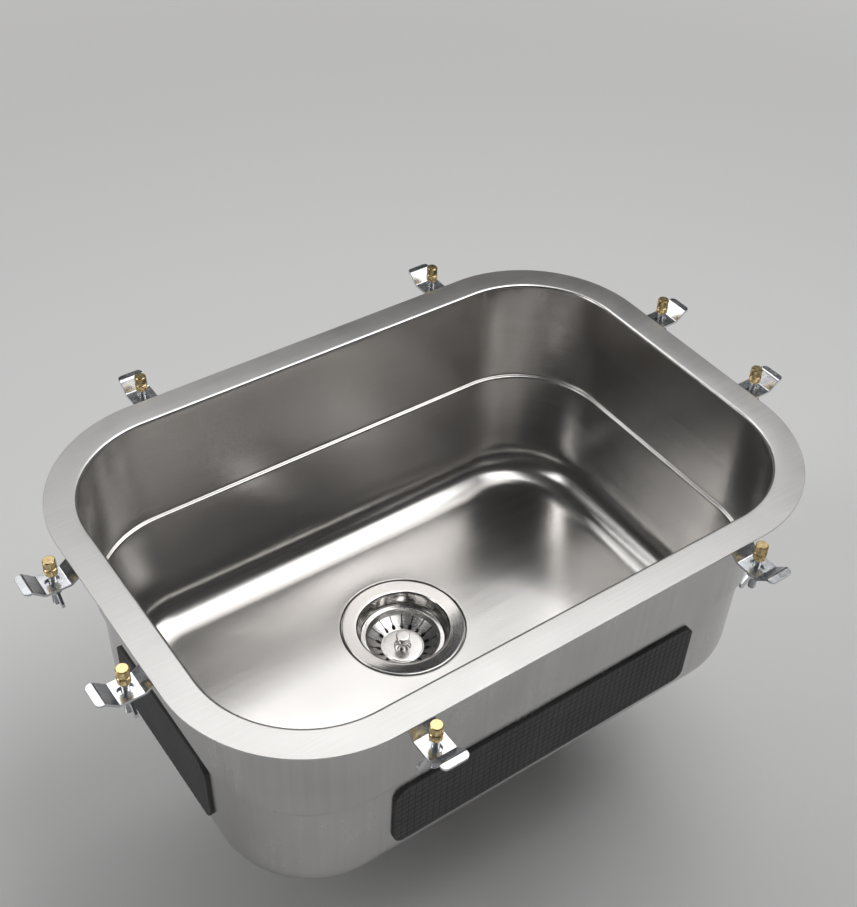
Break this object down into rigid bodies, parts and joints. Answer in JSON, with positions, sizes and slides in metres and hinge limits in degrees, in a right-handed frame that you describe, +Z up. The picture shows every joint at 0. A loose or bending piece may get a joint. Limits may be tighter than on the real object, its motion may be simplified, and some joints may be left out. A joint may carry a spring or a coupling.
{
  "type": "undermount kitchen sink",
  "caption": "Undermount sink: a pressed rounded bowl with a ledged wall, a basket strainer waste, damping pads and clips that fix its flange from below.",
  "frame": {"origin": "centre of the bowl opening, in the plane of the flange's top face", "axes": "+X along the bowl's long side, +Y to its back, +Z up out of the bowl"},
  "size_m": [0.65, 0.481, 0.402],
  "materials": {
    "bowl_steel": "satin brushed stainless sheet",
    "polished_steel": "polished stainless",
    "turned_steel": "turned stainless",
    "turned_brass": "turned brass",
    "seal_rubber": "black rubber",
    "damping_rubber": "matt damping rubber",
    "fibre": "pressed fibre",
    "cast_nut": "cast brass, machined thread",
    "plated_nut": "plated brass",
    "plated_tube": "plated brass tube",
    "bush_plastic": "white moulded plastic",
    "zinc_steel": "zinc plated steel"
  },
  "bodies": {
    "sink": {"bowl": "bowl_steel", "sound_pad_front": "damping_rubber", "sound_pad_back": "damping_rubber", "sound_pad_left": "damping_rubber", "sound_pad_right": "damping_rubber", "sound_pad_floor_left": "damping_rubber", "sound_pad_floor_right": "damping_rubber", "strainer_body": "polished_steel", "flange_seal": "seal_rubber", "under_gasket": "seal_rubber", "friction_washer": "fibre", "locknut": "cast_nut", "guide_bush": "bush_plastic", "tailpiece": "plated_tube", "tailpiece_washer": "bush_plastic", "coupling_nut": "plated_nut", "clip_bracket_1": "zinc_steel", "clip_bracket_2": "zinc_steel", "clip_bracket_3": "zinc_steel", "clip_bracket_4": "zinc_steel", "clip_bracket_5": "zinc_steel", "clip_bracket_6": "zinc_steel", "clip_bracket_7": "zinc_steel", "clip_bracket_8": "zinc_steel", "clip_studs": "zinc_steel", "clip_washers": "zinc_steel", "clip_wing_nuts": "zinc_steel", "stud_anchors": "turned_brass"},
    "stem": {"basket_knob": "polished_steel", "basket_stem": "turned_steel", "stem_collar": "turned_brass", "stopper": "seal_rubber", "stopper_plate": "turned_steel", "stem_clip": "turned_steel"},
    "basket": {"basket_shell": "polished_steel"}
  },
  "joints": [
    {"name": "basket_lift", "type": "slide", "parent": "sink", "child": "stem", "axis": [0, 0, 1], "range_m": [0, 0.3]},
    {"name": "basket_spin", "type": "hinge", "parent": "stem", "child": "basket", "pos_m": [0, 0.034, -0.2518], "axis": [0, 0, 1], "continuous": true}
  ]
}
